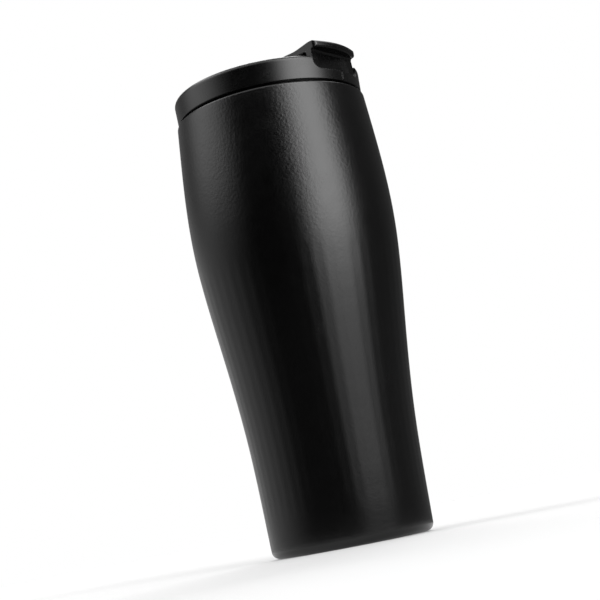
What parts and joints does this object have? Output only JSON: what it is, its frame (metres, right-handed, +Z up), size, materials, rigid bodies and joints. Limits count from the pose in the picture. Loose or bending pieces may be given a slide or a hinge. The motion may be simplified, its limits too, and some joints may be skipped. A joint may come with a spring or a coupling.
{
  "type": "insulated travel mug",
  "caption": "Waisted double-wall steel travel mug with a press-in plastic lid and a flip cap over its drink hole.",
  "frame": {"origin": "centre of the underside, on the surface that the mug stands on", "axes": "+Z up the mug's axis, -Y towards the drinking side with the flip cap's thumb lip"},
  "size_m": [0.0836, 0.0836, 0.1963],
  "materials": {
    "powder_coat": "satin black powder coat with a fine texture",
    "bare_steel": "bare stainless steel, fine circumferential brushing",
    "foil": "bright metal foil",
    "getter_metal": "sintered grey pellet",
    "solder_glass": "fused grey solder glass",
    "pad_silicone": "matt black silicone",
    "lid_plastic": "satin black moulded plastic, very fine grain",
    "seal_silicone": "soft dark grey silicone",
    "pin_steel": "drawn stainless steel wire"
  },
  "bodies": {
    "mug": {"outer_shell": "powder_coat", "outer_base": "powder_coat", "base_pad": "pad_silicone", "closing_plate": "bare_steel", "seal_bead": "solder_glass", "inner_liner": "bare_steel", "liner_base": "bare_steel", "heat_reflector": "foil", "getter": "getter_metal", "getter_clip": "bare_steel"},
    "lid": {"lid_shell": "lid_plastic", "lid_plug": "lid_plastic", "plug_seal": "seal_silicone", "hinge_pin": "pin_steel"},
    "cap": {"flip_cap": "lid_plastic", "spout_stopper": "seal_silicone", "vent_stopper": "seal_silicone"}
  },
  "joints": [
    {"name": "lid_lift", "type": "slide", "parent": "mug", "child": "lid", "axis": [0, 0, 1], "range_m": [0, 0.05]},
    {"name": "cap_hinge", "type": "hinge", "parent": "lid", "child": "cap", "pos_m": [0, 0.012, 0.1926], "axis": [-1, 0, 0], "range_deg": [0, 135]}
  ]
}
